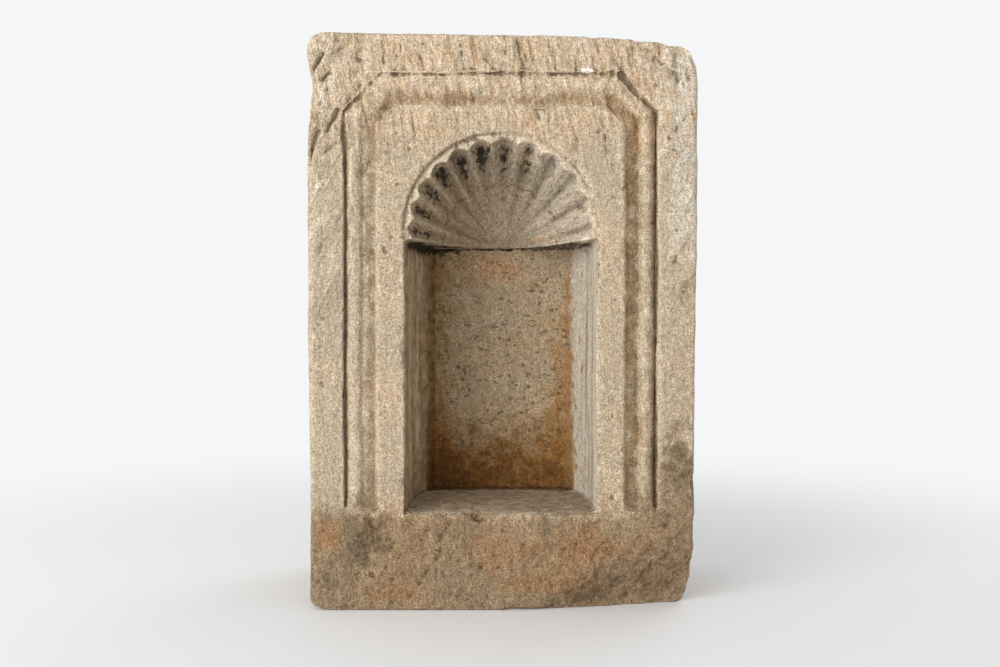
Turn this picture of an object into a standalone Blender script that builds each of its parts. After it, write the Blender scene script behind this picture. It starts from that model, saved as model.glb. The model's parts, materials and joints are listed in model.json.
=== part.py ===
"""Carved stone niche: one block of sandstone with a canted moulding round a shell-headed recess.

The carved face looks along -Y, Z is up, and the origin is under the middle of the block.
"""

import math

import bmesh
import bpy
from mathutils import Matrix, Vector

# Driving dimensions, in metres
BLOCK_WIDTH = 0.405
BLOCK_HEIGHT = 0.600
BLOCK_DEPTH = 0.200
ARRIS_ROUNDING = 0.0025
SIDE_TAPER = 0.003  # the right side leans in by this much at the foot
CARVING_SHIFT = -0.002  # the carving stands this far off the block's middle
BORDER_WIDTH = 0.0395  # plain face outside the moulding, at the sides
TOP_BORDER = 0.0410
SILL_HEIGHT = 0.1025
BACK_WALL = 0.050

# Sections of the sunk moulding, from its outer line inwards
GROOVE_WIDTH = 0.0040
GROOVE_DEPTH = 0.0100
BEAD_WIDTH = 0.0145
BEAD_SINK = 0.0015
QUIRK_WIDTH = 0.0030
QUIRK_DEPTH = 0.0085
FLAT_WIDTH = 0.0135
FLAT_DEPTH = 0.0065
WALL_BATTER = 0.0008
MOULDING_CANT = 0.039  # leg of the slanting upper corners, on the outer line
MOULDING_FOOT = 0.0055  # the moulding stops this far above the sill
STRIP_WIDTH = 0.0285  # plain face between the moulding and the recess

# The recess and its shell
JAMB_NARROWING = 0.0215  # how far each jamb has come in at the back wall
JAMB_CURVE = 4.0  # how late the jambs turn in
ARCH_STILT = 0.0095
BAND_WIDTH = 0.0090  # sunk band round the shell
BAND_SINK = 0.0020
BAND_CLEARANCE = 0.0003
LIP_OVERHANG = 0.0060  # the shell's lip stands this far forward of the back wall
FLUTE_COUNT = 12
FLUTE_DEPTH = 0.0065
FLUTE_ROUNDNESS = 0.9
FLUTE_SWELL = 1.3  # how fast a flute deepens towards the rim
FLUTE_LEAN = math.radians(5.0)  # the carver's flutes swing towards the left
HUB_RADIUS = 0.0085
HUB_PROUD = 0.0030
HUB_EDGE = 0.0010
VAULT_AT_SIDES = 2.0
VAULT_AT_CROWN = 3.2

# The flake lost from the foot of the right side
FLAKE_RUN = 0.185
FLAKE_RISE = 0.100
FLAKE_RECESS = 0.038
FLAKE_SPREAD = 1.4  # the cutter's share of the break, so that it runs past every side

# The chip in the sill
SILL_CHIP_OFFSET = 0.0220
SILL_CHIP_HALF_SIZES = (0.0075, 0.0085, 0.0080)

# How finely round shapes are cut, and how far cutters pass through a face
STEPS_PER_FLUTE = 8
SHELL_RINGS = 13
JAMB_STEPS = 12
ARCH_STEPS = 40
BEAD_STEPS = 7
PASS_THROUGH = 0.020
SHELL_SKIRT = 0.006

STONE_COLOUR = (0.53, 0.44, 0.33, 1.0)
STONE_ROUGHNESS = 0.93

# Sizes worked out from the driving dimensions
MOULDING_WIDTH = GROOVE_WIDTH + BEAD_WIDTH + QUIRK_WIDTH + FLAT_WIDTH
FACE_Y = -BLOCK_DEPTH / 2
NICHE_HALF = BLOCK_WIDTH / 2 - BORDER_WIDTH - MOULDING_WIDTH - STRIP_WIDTH
NICHE_DEPTH = BLOCK_DEPTH - BACK_WALL
MOULDING_HALF = BLOCK_WIDTH / 2 - BORDER_WIDTH
MOULDING_TOP = BLOCK_HEIGHT - TOP_BORDER
CROWN_Z = MOULDING_TOP - MOULDING_WIDTH - STRIP_WIDTH
SPRINGING_Z = CROWN_Z - NICHE_HALF - ARCH_STILT
SHELL_HALF = NICHE_HALF - BAND_WIDTH
SHELL_DEPTH = NICHE_DEPTH - LIP_OVERHANG


def clear_scene():
    for thing in list(bpy.data.objects):
        bpy.data.objects.remove(thing)


def new_collection(name):
    collection = bpy.data.collections.new(name)
    bpy.context.scene.collection.children.link(collection)
    return collection


def stone_material():
    material = bpy.data.materials.new("sandstone")
    material.use_nodes = True
    shader = material.node_tree.nodes["Principled BSDF"]
    shader.inputs["Base Color"].default_value = STONE_COLOUR
    shader.inputs["Roughness"].default_value = STONE_ROUGHNESS
    shader.inputs["Metallic"].default_value = 0.0
    return material


def extruded_outline(name, outline, thickness, collection):
    """A closed mesh from a flat outline, with its thickness along local Z."""
    curve = bpy.data.curves.new(name + "_outline", "CURVE")
    curve.dimensions = "2D"
    curve.fill_mode = "BOTH"
    curve.extrude = thickness / 2
    spline = curve.splines.new("POLY")
    spline.points.add(len(outline) - 1)
    for point, (across, up) in zip(spline.points, outline):
        point.co = (across, up, 0, 1)
    spline.use_cyclic_u = True
    drawn = bpy.data.objects.new(name + "_outline", curve)
    collection.objects.link(drawn)
    bpy.context.view_layer.update()
    graph = bpy.context.evaluated_depsgraph_get()
    mesh = bpy.data.meshes.new_from_object(drawn.evaluated_get(graph))
    bpy.data.objects.remove(drawn)
    weld_and_face_out(mesh)
    solid = bpy.data.objects.new(name, mesh)
    collection.objects.link(solid)
    return solid


def weld_and_face_out(mesh):
    work = bmesh.new()
    work.from_mesh(mesh)
    bmesh.ops.remove_doubles(work, verts=work.verts, dist=1e-6)
    bmesh.ops.recalc_face_normals(work, faces=work.faces)
    work.to_mesh(mesh)
    work.free()


def make_cutter(thing):
    thing.hide_render = True
    thing.display_type = "WIRE"
    return thing


def cut(block, cutter):
    boolean = block.modifiers.new("cut_" + cutter.name, "BOOLEAN")
    boolean.operation = "DIFFERENCE"
    boolean.solver = "EXACT"
    boolean.object = cutter


def block_outline():
    """The worn front outline, anticlockwise from the lower left, with X to the right and Z up."""
    left, right, top = -BLOCK_WIDTH / 2, BLOCK_WIDTH / 2, BLOCK_HEIGHT
    foot = right - SIDE_TAPER
    lower_left = [(left + 0.018, 0.0), (left + 0.006, 0.0035), (left + 0.001, 0.010)]
    lower_right = [(foot - 0.008, 0.0), (foot - 0.002, 0.010), (foot, 0.024)]
    broken_corner = [
        (right, top - 0.055),
        (right - 0.0015, top - 0.0345),
        (right - 0.0060, top - 0.0260),
        (right - 0.0080, top - 0.0190),
        (right - 0.0190, top - 0.0135),
        (right - 0.0310, top - 0.0130),
        (right - 0.0420, top - 0.0085),
        (right - 0.0620, top - 0.0080),
        (right - 0.0700, top - 0.0055),
    ]
    top_edge = [(right - 0.122, top - 0.0030), (right - 0.240, top - 0.0015), (left + 0.060, top)]
    upper_left = [(left + 0.015, top), (left + 0.004, top - 0.004), (left, top - 0.018)]
    hollow = [
        (left + 0.0025, top - 0.036),
        (left + 0.0060, top - 0.055),
        (left + 0.0035, top - 0.072),
        (left + 0.0010, top - 0.098),
    ]
    side = [(left, top - 0.180), (left + 0.0008, top / 2), (left + 0.0020, 0.090)]
    return lower_right + broken_corner + top_edge + upper_left + hollow + side + lower_left[::-1]


def build_block(collection):
    block = extruded_outline("niche_block", block_outline(), BLOCK_DEPTH, collection)
    block.data.transform(Matrix.Rotation(math.radians(90), 4, "X"))
    bevel = block.modifiers.new("worn_arrises", "BEVEL")
    bevel.width = ARRIS_ROUNDING
    bevel.segments = 2
    bevel.limit_method = "ANGLE"
    bevel.angle_limit = math.radians(50)
    return block


def moulding_section():
    """(distance in from the outer line, depth under the face) across the moulding."""
    bead_from = GROOVE_WIDTH
    bead_to = bead_from + BEAD_WIDTH
    flat_from = bead_to + QUIRK_WIDTH
    section = [(0.0, -PASS_THROUGH), (0.0, 0.0), (WALL_BATTER, GROOVE_DEPTH)]
    for step in range(BEAD_STEPS + 1):
        share = step / BEAD_STEPS
        turn = math.pi * share
        ground = GROOVE_DEPTH + (QUIRK_DEPTH - GROOVE_DEPTH) * share
        across = (bead_from + bead_to) / 2 - BEAD_WIDTH / 2 * math.cos(turn)
        section.append((across, ground - (ground - BEAD_SINK) * math.sin(turn)))
    section.append((flat_from, QUIRK_DEPTH))
    section.append((flat_from + WALL_BATTER, FLAT_DEPTH))
    section.append((MOULDING_WIDTH - WALL_BATTER, FLAT_DEPTH))
    section += [(MOULDING_WIDTH, 0.0), (MOULDING_WIDTH, -PASS_THROUGH)]
    return section


def moulding_path():
    """The moulding's outer line, from its left foot over the top to its right foot."""
    foot = SILL_HEIGHT + MOULDING_FOOT
    shoulder = MOULDING_TOP - MOULDING_CANT
    left = [(-MOULDING_HALF, foot), (-MOULDING_HALF, shoulder)]
    left.append((-MOULDING_HALF + MOULDING_CANT, MOULDING_TOP))
    right = [(-x, z) for x, z in reversed(left)]
    return [Vector((x + CARVING_SHIFT, z)) for x, z in left + right]


def inward_at(path, index):
    """How a point of the path moves for one metre of distance in, so that corners are mitred."""
    normals = []
    for start, end in ((index - 1, index), (index, index + 1)):
        if start >= 0 and end < len(path):
            along = (path[end] - path[start]).normalized()
            normals.append(Vector((along.y, -along.x)))
    middle = sum(normals, Vector((0, 0))).normalized()
    return middle / middle.dot(normals[0])


def loft(name, rings, collection):
    """A closed solid through rings of points, with both ends capped."""
    work = bmesh.new()
    loops = [[work.verts.new(point) for point in ring] for ring in rings]
    for near, far in zip(loops, loops[1:]):
        for i in range(len(near)):
            j = (i + 1) % len(near)
            work.faces.new((near[i], near[j], far[j], far[i]))
    work.faces.new(loops[0])
    work.faces.new(loops[-1])
    bmesh.ops.recalc_face_normals(work, faces=work.faces)
    return object_from(work, name, collection)


def object_from(work, name, collection):
    mesh = bpy.data.meshes.new(name)
    work.to_mesh(mesh)
    work.free()
    thing = bpy.data.objects.new(name, mesh)
    collection.objects.link(thing)
    return thing


def build_moulding_cutter(collection):
    path = moulding_path()
    section = moulding_section()
    rings = []
    for index, corner in enumerate(path):
        inward = inward_at(path, index)
        ring = []
        for distance, depth in section:
            place = corner + inward * distance
            ring.append((place.x, FACE_Y + depth, place.y))
        rings.append(ring)
    return make_cutter(loft("moulding_cutter", rings, collection))


def jamb_half_width(depth):
    """Half the recess's width at a depth behind the face."""
    return NICHE_HALF - JAMB_NARROWING * (max(depth, 0.0) / NICHE_DEPTH) ** JAMB_CURVE


def build_recess_cutter(collection):
    depths = [-PASS_THROUGH] + [NICHE_DEPTH * i / JAMB_STEPS for i in range(JAMB_STEPS + 1)]
    right = [(CARVING_SHIFT + jamb_half_width(d), FACE_Y + d) for d in depths]
    left = [(CARVING_SHIFT - jamb_half_width(d), FACE_Y + d) for d in reversed(depths)]
    height = SPRINGING_Z - SILL_HEIGHT
    cutter = extruded_outline("recess_cutter", right + left, height, collection)
    cutter.data.transform(Matrix.Translation((0, 0, SILL_HEIGHT + height / 2)))
    return make_cutter(cutter)


def arch_reach(turn, radius):
    """Distance from the hub to a stilted round arch of this radius, in the direction turn."""
    if radius * abs(math.tan(turn)) <= ARCH_STILT:
        return radius / abs(math.cos(turn))
    across = ARCH_STILT * math.cos(turn)
    return ARCH_STILT * math.sin(turn) + math.sqrt(radius**2 - across**2)


def build_band_cutter(collection):
    half = NICHE_HALF - BAND_CLEARANCE
    outline = [(half, -SHELL_SKIRT)]
    for step in range(ARCH_STEPS + 1):
        turn = math.pi * step / ARCH_STEPS
        outline.append((half * math.cos(turn), ARCH_STILT + half * math.sin(turn)))
    outline.append((-half, -SHELL_SKIRT))
    thickness = BAND_SINK + PASS_THROUGH
    cutter = extruded_outline("band_cutter", outline, thickness, collection)
    cutter.data.transform(Matrix.Rotation(math.radians(90), 4, "X"))
    middle = FACE_Y + BAND_SINK - thickness / 2
    cutter.data.transform(Matrix.Translation((CARVING_SHIFT, middle, SPRINGING_Z)))
    return make_cutter(cutter)


def shell_point(even_turn, share):
    """A point of the fluted vault.

    even_turn is its direction, from 0 at the right to pi, if the flutes were all alike.
    Share runs from 0 at the hub to 1 at the rim.
    """
    turn = even_turn + FLUTE_LEAN * math.sin(even_turn)
    reach = arch_reach(turn, SHELL_HALF)
    power = VAULT_AT_SIDES + (VAULT_AT_CROWN - VAULT_AT_SIDES) * math.sin(turn)
    out = reach * share
    depth = SHELL_DEPTH * (1 - share**power)
    slope = Vector((power * SHELL_DEPTH * share ** (power - 1), reach)).normalized()
    wave = abs(math.sin(FLUTE_COUNT * even_turn)) ** FLUTE_ROUNDNESS
    flute = FLUTE_DEPTH * share**FLUTE_SWELL * wave
    out += flute * slope.x
    depth += flute * slope.y
    if out < HUB_RADIUS:
        depth -= HUB_PROUD
    return (
        CARVING_SHIFT + out * math.cos(turn),
        FACE_Y + depth,
        SPRINGING_Z + out * math.sin(turn),
    )


def shell_shares():
    """Ring places from hub to rim, with a close pair at the edge of the hub."""
    inside = (HUB_RADIUS - HUB_EDGE) / SHELL_HALF
    outside = (HUB_RADIUS + HUB_EDGE) / SHELL_HALF
    rest = [outside + (1 - outside) * i / SHELL_RINGS for i in range(1, SHELL_RINGS + 1)]
    return [inside, outside] + rest


def build_shell_cutter(collection):
    """The vault above the springing, with a short skirt that opens into the recess below."""
    work = bmesh.new()
    steps = FLUTE_COUNT * STEPS_PER_FLUTE
    shares = shell_shares()
    rows = []
    for step in range(steps + 1):
        row = [Vector(shell_point(math.pi * step / steps, share)) for share in shares]
        row.append(Vector((row[-1].x, FACE_Y - PASS_THROUGH, row[-1].z)))
        rows.append(row)
    drop = Vector((0, 0, -SHELL_SKIRT))
    rows = [[p + drop for p in rows[0]]] + rows + [[p + drop for p in rows[-1]]]
    hub = Vector(shell_point(math.pi / 2, 0.0))
    pole = work.verts.new(hub)
    low_pole = work.verts.new(hub + drop)
    grid = [[work.verts.new(point) for point in row] for row in rows]
    for near, far in zip(grid, grid[1:]):
        for i in range(len(near) - 1):
            work.faces.new((near[i], near[i + 1], far[i + 1], far[i]))
    for near, far in zip(grid[1:-1], grid[2:-1]):
        work.faces.new((pole, near[0], far[0]))
    work.faces.new((pole, low_pole, grid[0][0], grid[1][0]))
    work.faces.new((pole, grid[-2][0], grid[-1][0], low_pole))
    work.faces.new([row[-1] for row in grid])
    work.faces.new([low_pole] + grid[-1] + grid[0][::-1])
    bmesh.ops.recalc_face_normals(work, faces=work.faces)
    return make_cutter(object_from(work, "shell_cutter", collection))


def build_flake_cutter(collection):
    """A wedge whose sloping face is the break at the foot of the right side."""
    right = BLOCK_WIDTH / 2
    break_corners = (
        Vector((right, FACE_Y, FLAKE_RISE)),
        Vector((right - FLAKE_RUN, FACE_Y, 0.0)),
        Vector((right, FACE_Y + FLAKE_RECESS, 0.0)),
    )
    middle = sum(break_corners, Vector()) / len(break_corners)
    spread = [middle + (corner - middle) * FLAKE_SPREAD for corner in break_corners]
    forward = Vector((0, -(FLAKE_RECESS + PASS_THROUGH) * FLAKE_SPREAD, 0))
    return make_cutter(loft("flake_cutter", [spread, [p + forward for p in spread]], collection))


def build_sill_chip_cutter(collection):
    """The scoop broken out of the front edge of the recess's floor."""
    work = bmesh.new()
    bmesh.ops.create_uvsphere(work, u_segments=16, v_segments=10, radius=1.0)
    bmesh.ops.scale(work, vec=SILL_CHIP_HALF_SIZES, verts=work.verts)
    place = Vector((CARVING_SHIFT - SILL_CHIP_OFFSET, FACE_Y, SILL_HEIGHT))
    bmesh.ops.translate(work, vec=place, verts=work.verts)
    return make_cutter(object_from(work, "sill_chip_cutter", collection))


def main():
    clear_scene()
    parts = new_collection("stone_niche")
    cutters = new_collection("cutters")
    block = build_block(parts)
    block.data.materials.append(stone_material())
    tools = [
        build_moulding_cutter(cutters),
        build_recess_cutter(cutters),
        build_band_cutter(cutters),
        build_shell_cutter(cutters),
        build_flake_cutter(cutters),
        build_sill_chip_cutter(cutters),
    ]
    for tool in tools:
        cut(block, tool)
    block.data.shade_smooth()
    block.data.set_sharp_from_angle(angle=math.radians(35))


main()
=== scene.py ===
import json
import math

import bmesh
import bpy
import numpy as np
from mathutils import Matrix, Vector


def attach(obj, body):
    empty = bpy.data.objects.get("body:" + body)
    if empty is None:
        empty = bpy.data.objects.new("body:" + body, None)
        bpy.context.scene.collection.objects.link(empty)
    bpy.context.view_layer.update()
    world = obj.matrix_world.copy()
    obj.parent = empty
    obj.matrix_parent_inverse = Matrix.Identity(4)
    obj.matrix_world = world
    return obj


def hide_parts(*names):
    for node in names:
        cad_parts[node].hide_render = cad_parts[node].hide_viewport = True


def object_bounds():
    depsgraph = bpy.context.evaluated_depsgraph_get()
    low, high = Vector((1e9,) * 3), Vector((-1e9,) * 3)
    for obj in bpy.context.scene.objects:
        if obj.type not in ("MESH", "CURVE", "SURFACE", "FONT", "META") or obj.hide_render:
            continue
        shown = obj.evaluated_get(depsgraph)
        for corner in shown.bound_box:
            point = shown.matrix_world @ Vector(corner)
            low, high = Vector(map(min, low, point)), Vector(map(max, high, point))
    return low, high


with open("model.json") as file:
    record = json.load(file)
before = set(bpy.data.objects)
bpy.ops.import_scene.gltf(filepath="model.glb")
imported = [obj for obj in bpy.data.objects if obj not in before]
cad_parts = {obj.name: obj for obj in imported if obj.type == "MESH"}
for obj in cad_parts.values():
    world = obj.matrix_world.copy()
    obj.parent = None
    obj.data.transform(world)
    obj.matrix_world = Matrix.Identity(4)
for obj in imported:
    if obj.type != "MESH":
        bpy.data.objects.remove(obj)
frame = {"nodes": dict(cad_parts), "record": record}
cadLow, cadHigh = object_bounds()
print("frame loaded:", [round(v, 3) for v in cadLow], [round(v, 3) for v in cadHigh])

# The block as it stands: x to the right, y into the stone, z up, all in metres.
floorMount = next(m for m in frame["record"]["mounts"] if m["name"] == "niche_floor")
block = {
    "left": cadLow[0],
    "right": cadHigh[0],
    "face": cadLow[1],
    "back": cadHigh[1],
    "top": cadHigh[2],
    "middle": floorMount["pos_m"][0],      # the carving's centre line
    "sill": floorMount["pos_m"][2],
    "springing": 0.3865,
    "nicheHalf": 0.0995,
    "nicheDepth": 0.150,
    "stilt": 0.0095,
    "shellHalf": 0.0905,
    "mouldingHalf": 0.163,                 # to the moulding's outer line
    "mouldingTop": 0.559,
    "carvedHalf": 0.170,                   # a little past the moulding, as is the next
    "carvedTop": 0.565,
    "faceDepth": 0.0135,                   # how far in the face and its moulding lie
    "bandDepth": 0.0035,                   # how far in the flat band round the shell lies
}

# How the working skin is made and thinned again.
skin = {
    "voxel": 0.0015,
    "triangles": 196000,
    "plainFrom": 0.02,                     # depths between which the block is left plainer
    "plainTo": 0.05,
    "frontShare": 0.30,                    # how readily the carved side is thinned, from 0 to 1
    "lengthCost": 0.02,
    "rounding": 2,
    "arrisRounding": 16,
    "flakeRounding": 60,
    "shellRounding": 6,
}


def ramp(value, low, high):
    # 0 below low, 1 above high, smooth between
    part = np.clip((value - low) / (high - low), 0, 1)
    return part * part * (3 - 2 * part)


def hill(value, width):
    return np.exp(-((value / width) ** 2))


def lumps(points, size, seed):
    # a smooth random field from -1 to 1, with lumps of about this size
    count = 61
    table = np.random.RandomState(seed).uniform(-1, 1, (count, count, count))
    turned = points @ lumpTurn
    cell = turned / size + 1000.0
    base = np.floor(cell).astype(np.int64)
    part = cell - base
    part = part * part * (3 - 2 * part)
    base %= count
    after = (base + 1) % count
    total = np.zeros(len(points))
    for i in (0, 1):
        xi = after[:, 0] if i else base[:, 0]
        wx = part[:, 0] if i else 1 - part[:, 0]
        for j in (0, 1):
            yj = after[:, 1] if j else base[:, 1]
            wy = part[:, 1] if j else 1 - part[:, 1]
            for k in (0, 1):
                zk = after[:, 2] if k else base[:, 2]
                wz = part[:, 2] if k else 1 - part[:, 2]
                total += table[xi, yj, zk] * wx * wy * wz
    return total


lumpTurn = np.array([[0.80, -0.36, 0.48], [0.60, 0.48, -0.64], [0.0, 0.80, 0.60]])


def rough(points, size, seed, octaves=3, fall=0.55):
    total = np.zeros(len(points))
    weight = 1.0
    for octave in range(octaves):
        total += weight * lumps(points, size / 2 ** octave, seed + octave)
        weight *= fall
    return total


def furrow(across, up, start, end, width, skew=1.0):
    # the share of a chisel cut between two points: 1 along its bed, 0 beside it
    length = math.hypot(end[0] - start[0], end[1] - start[1])
    ux, uz = (end[0] - start[0]) / length, (end[1] - start[1]) / length
    along = (across - start[0]) * ux + (up - start[1]) * uz
    aside = (across - start[0]) * uz - (up - start[1]) * ux
    ends = ramp(along, -width, 1.5 * width) * (1 - ramp(along, length - 1.5 * width, length + width))
    slope = np.where(aside > 0, aside / (width * skew), aside / width)
    return np.exp(-slope ** 2) * ends


def applied(thing):
    # the object's mesh as its modifiers leave it
    graph = bpy.context.evaluated_depsgraph_get()
    fresh = bpy.data.meshes.new_from_object(thing.evaluated_get(graph))
    thing.modifiers.clear()
    old = thing.data
    thing.data = fresh
    bpy.data.meshes.remove(old)
    return thing


def readPoints(mesh):
    points = np.empty(len(mesh.vertices) * 3)
    mesh.vertices.foreach_get("co", points)
    return points.reshape(-1, 3)


def readNormals(mesh):
    normals = np.empty(len(mesh.vertices) * 3)
    mesh.vertices.foreach_get("normal", normals)
    return normals.reshape(-1, 3)


def readEdges(mesh):
    edges = np.empty(len(mesh.edges) * 2, dtype=np.int64)
    mesh.edges.foreach_get("vertices", edges)
    return edges.reshape(-1, 2)


def relax(points, edges, share, rounds):
    # moves each point towards the middle of its neighbours, by its own share
    count = len(points)
    degree = np.bincount(edges.ravel(), minlength=count)
    degree = np.maximum(degree, 1)
    for turn in range(rounds):
        middle = np.empty_like(points)
        for axis in range(points.shape[1]):
            column = points[:, axis]
            total = np.bincount(edges[:, 0], weights=column[edges[:, 1]], minlength=count)
            total += np.bincount(edges[:, 1], weights=column[edges[:, 0]], minlength=count)
            middle[:, axis] = total / degree
        points = points + (middle - points) * share[:, None]
    return points


def startSkin():
    # a merged copy of the block, remeshed evenly so that it can be worked like clay
    source = frame["nodes"]["niche_block"]
    work = bmesh.new()
    work.from_mesh(source.data)
    bmesh.ops.remove_doubles(work, verts=work.verts, dist=1e-5)
    mesh = bpy.data.meshes.new("carved_block")
    work.to_mesh(mesh)
    work.free()
    piece = bpy.data.objects.new("carved_block", mesh)
    bpy.context.scene.collection.objects.link(piece)
    remesh = piece.modifiers.new("clay", "REMESH")
    remesh.mode = "VOXEL"
    remesh.voxel_size = skin["voxel"]
    remesh.adaptivity = 0
    applied(piece)
    print("clay skin:", len(piece.data.vertices), "points")
    return piece


def places(points, normals):
    # where each point lies on the block
    x, y, z = points.T
    b = block
    across = x - b["middle"]
    depth = y - b["face"]
    rise = z - b["springing"]
    reach = np.where(
        rise > b["stilt"],
        np.hypot(across, rise - b["stilt"]),
        np.abs(across))
    hollowed = depth < b["nicheDepth"] + 0.012
    above = rise > 0.0
    inArch = above & (reach < b["nicheHalf"] + 0.0005) & hollowed
    below = (rise <= 0.0) & (z > b["sill"] - 0.001) & hollowed
    inChamber = below & (np.abs(across) < b["nicheHalf"] + 0.0008) & (depth > 0.0)
    inShell = inArch & ((depth > b["bandDepth"]) | (reach < b["shellHalf"]))
    gaps = np.stack([
        np.minimum(x - b["left"], b["right"] - x),
        np.minimum(depth, b["back"] - y),
        np.minimum(z, b["top"] - z)])
    arris = np.sort(np.abs(gaps), axis=0)[1]
    onFoot = (z < b["sill"]) & (depth < 0.045) & (normals[:, 1] < -0.35)
    carved = (np.abs(across) < b["carvedHalf"]) & (z > b["sill"] - 0.003) & (z < b["carvedTop"])
    faces = np.maximum(carved, ramp(-normals[:, 1], 0.15, 0.45))
    front = (((depth < b["faceDepth"]) | onFoot) & ~inChamber & ~inShell) * faces
    return {
        "x": x, "y": y, "z": z, "across": across, "depth": depth, "rise": rise, "reach": reach,
        "inArch": inArch, "inChamber": inChamber, "inShell": inShell, "front": front, "arris": arris,
        "aboveSill": z > b["sill"] + 0.002, "normals": normals}


# The worn moulding: places across it in mm, as cut and as they are now, and how much depth is left there.
moulding = {
    "width": 35.0,
    "cut": (-3.0, 0.0, 4.0, 11.0, 18.5, 21.5, 35.0, 38.0),
    "now": (-3.0, 0.3, 2.8, 10.6, 19.0, 20.8, 34.6, 38.0),
    "depthLeft": (0.75, 0.75, 0.78, 0.7, 0.82, 0.78, 0.88, 1.0),
    "wallLean": 0.40,                      # how far the walls lean, for each unit of depth
    "cantLine": 0.683,                     # across + up, on the outer line of the cants
    "top": 0.40,                           # the share of depth that each run keeps
    "leftCant": 0.16,
    "rightCant": 0.95,
    "leftRun": 1.05,
    "rightRun": 1.1,
    "rightSoftness": 7.0,                  # how much of the right-hand side's inner flat stays unrubbed
    "rounding": 8,
    "grooveLine": 1.5,
    "grooveWidth": 0.0013,
    "grooveDepth": 0.0026,
    "grooveFirmness": {"sides": 0.45, "leftCant": 0.15, "rightCant": 0.30},
}

# The mason's furrows: (from x, z) (to x, z), width, depth, in millimetres on the face.
namedFurrows = [
    ((-184, 580), (-202, 551), 1.5, 5.5, 1.5),     # the deep gouge by the left shoulder
    ((-190, 550), (-176, 560), 1.8, 2.4, 2.0),
    ((-169, 523), (-183, 496), 1.7, 4.4, 1.8),
    ((-189, 502), (-201, 468), 2.0, 4.6, 1.8),
    ((-171, 488), (-184, 474), 1.6, 2.0, 2.0),
    ((-127, 521), (-117, 525), 2.2, 3.4, 1.2),     # the short curved mark
    ((-137, 470), (-149, 450), 2.4, 1.9, 1.8),
    ((-155, 492), (-148, 466), 1.6, 1.4, 1.2),
    ((-178, 574), (-150, 598), 3.0, 1.2, 1.5),
    ((-64, 562), (-58, 545), 2.6, 2.2, 1.5),
    ((-49, 528), (-60, 545), 2.4, 2.2, 1.5),
    ((25, 560), (14, 592), 2.8, 1.4, 1.5),
    ((38, 594), (41, 566), 2.4, 1.0, 1.5),
    ((62, 540), (76, 488), 2.0, 1.4, 0.6),
    ((52, 530), (63, 494), 2.2, 1.1, 0.6),
    ((33, 528), (46, 488), 2.2, 1.1, 0.6),
    ((100, 530), (105, 518), 2.6, 2.2, 1.4),
    ((146, 586), (180, 556), 2.4, 2.2, 3.0),       # the ridge of the broken corner
    ((141, 593), (152, 574), 2.2, 1.4, 1.4),
    ((162, 588), (163, 576), 2.0, 2.6, 1.3),
    ((176, 360), (196, 396), 2.6, 1.3, 1.5),
    ((183, 322), (200, 352), 2.6, 1.3, 1.5),
    ((172, 492), (196, 520), 2.0, 1.0, 1.5),
    ((-62, 66), (-96, 14), 2.8, 2.0, 1.6),
    ((-72, 48), (-88, 24), 2.6, 1.6, 1.6),
    ((-60, 88), (-66, 70), 2.4, 1.4, 1.4),
]

# Small holes in the back wall: (x, z) in millimetres.
wallHoles = [
    (35, 338), (41, 344), (47, 336), (59, 314), (61, 302), (73, 290), (75, 282),
    (77, 273), (9, 279), (7, 261), (25, 249), (31, 223), (17, 225), (23, 192),
    (67, 215), (68, 196), (67, 172), (57, 164), (-52, 246), (-47, 232),
]

# Families of furrows: box of the starts in mm, lean from upright in degrees, lengths, widths, depths.
furrowFamilies = [
    {"box": (-130, 190, 572, 600), "lean": (-4, 16), "length": (16, 34), "width": (1.8, 3.2),
     "depth": (0.7, 2.3), "count": 62, "seed": 11},
    {"box": (-120, 140, 530, 562), "lean": (2, 18), "length": (12, 30), "width": (1.6, 3.0),
     "depth": (0.6, 2.1), "count": 54, "seed": 12},
    {"box": (-130, 122, 492, 530), "lean": (2, 18), "length": (16, 44), "width": (1.6, 3.0),
     "depth": (0.6, 2.1), "count": 46, "seed": 13},
    {"box": (-122, -100, 400, 500), "lean": (-24, 6), "length": (10, 28), "width": (1.6, 2.8),
     "depth": (0.3, 0.8), "count": 20, "seed": 14},
    {"box": (-200, -140, 520, 598), "lean": (-42, -16), "length": (14, 34), "width": (2.0, 3.6),
     "depth": (0.4, 1.4), "count": 24, "seed": 15},
    {"box": (-198, -172, 430, 520), "lean": (-36, -12), "length": (14, 34), "width": (2.2, 3.6),
     "depth": (0.3, 1.1), "count": 14, "seed": 16},
    {"box": (166, 200, 300, 560), "lean": (-46, -20), "length": (14, 34), "width": (1.8, 3.2),
     "depth": (0.3, 0.9), "count": 26, "seed": 17},
    {"box": (100, 124, 340, 490), "lean": (-10, 14), "length": (10, 26), "width": (1.6, 2.6),
     "depth": (0.2, 0.6), "count": 16, "seed": 18},
    {"box": (-198, 196, 8, 98), "lean": (-38, 30), "length": (6, 20), "width": (2.0, 4.0),
     "depth": (0.4, 1.3), "count": 90, "seed": 19},
]


def holesInWall(points):
    # the share of a hole at points of the back wall
    total = np.zeros(len(points))
    for place, (x, z) in enumerate(wallHoles):
        size = 0.0014 + 0.0003 * (place % 4)
        total += hill(np.hypot((points[:, 0] - x / 1000) / 1.25, points[:, 2] - z / 1000), size)
    return total


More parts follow.
